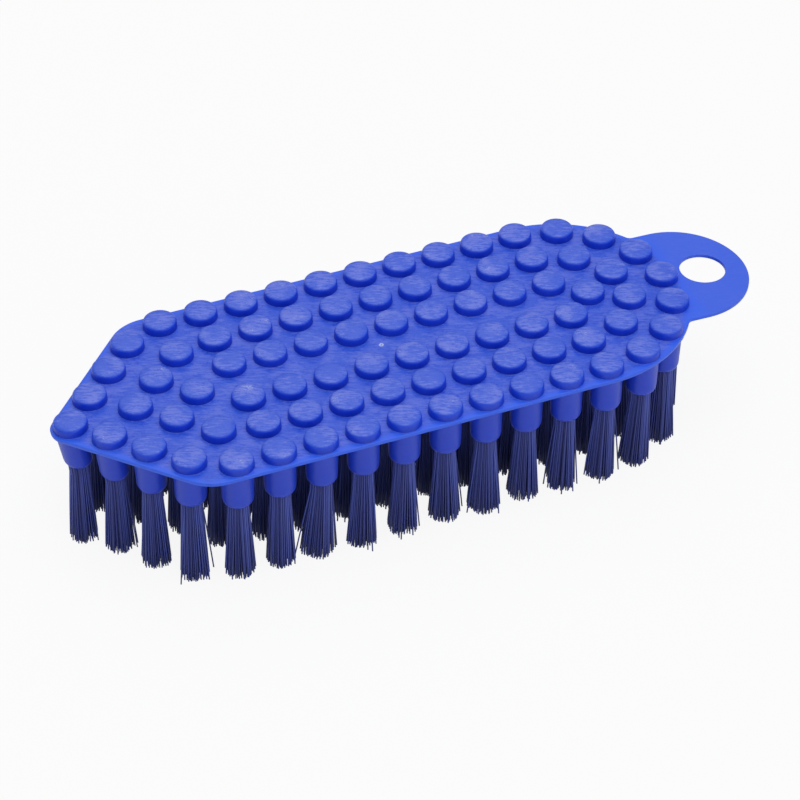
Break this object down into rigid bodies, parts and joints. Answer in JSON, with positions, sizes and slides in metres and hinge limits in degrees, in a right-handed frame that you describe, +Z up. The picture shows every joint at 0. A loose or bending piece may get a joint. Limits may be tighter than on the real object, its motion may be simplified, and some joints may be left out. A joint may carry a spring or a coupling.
{
  "type": "palm brush",
  "caption": "Flexible palm brush: a thin moulded back with round grip studs on top, a bristle tuft in a socket under each stud, and a hang tab.",
  "frame": {"origin": "on the plane of the bristle tips, under the middle of the brush's length and width", "axes": "+X along the brush from the pointed fore end to the hang tab, +Z up from the bristle tips to the studs"},
  "size_m": [0.1726, 0.0616, 0.033],
  "materials": {
    "back_plastic": "satin soft plastic",
    "bristle_nylon": "extruded nylon filament",
    "anchor_wire": "plain flat wire"
  },
  "bodies": {
    "root": {"flexible_back": "back_plastic", "tufts_row_01": "bristle_nylon", "tufts_row_02": "bristle_nylon", "tufts_row_03": "bristle_nylon", "tufts_row_04": "bristle_nylon", "tufts_row_05": "bristle_nylon", "tufts_row_06": "bristle_nylon", "tufts_row_07": "bristle_nylon", "tufts_row_08": "bristle_nylon", "tufts_row_09": "bristle_nylon", "tufts_row_10": "bristle_nylon", "tufts_row_11": "bristle_nylon", "tufts_row_12": "bristle_nylon", "tufts_row_13": "bristle_nylon", "tufts_row_14": "bristle_nylon", "tufts_row_15": "bristle_nylon", "tufts_row_16": "bristle_nylon", "tufts_row_17": "bristle_nylon", "anchors_row_01": "anchor_wire", "anchors_row_02": "anchor_wire", "anchors_row_03": "anchor_wire", "anchors_row_04": "anchor_wire", "anchors_row_05": "anchor_wire", "anchors_row_06": "anchor_wire", "anchors_row_07": "anchor_wire", "anchors_row_08": "anchor_wire", "anchors_row_09": "anchor_wire", "anchors_row_10": "anchor_wire", "anchors_row_11": "anchor_wire", "anchors_row_12": "anchor_wire", "anchors_row_13": "anchor_wire", "anchors_row_14": "anchor_wire", "anchors_row_15": "anchor_wire", "anchors_row_16": "anchor_wire", "anchors_row_17": "anchor_wire"}
  },
  "joints": []
}
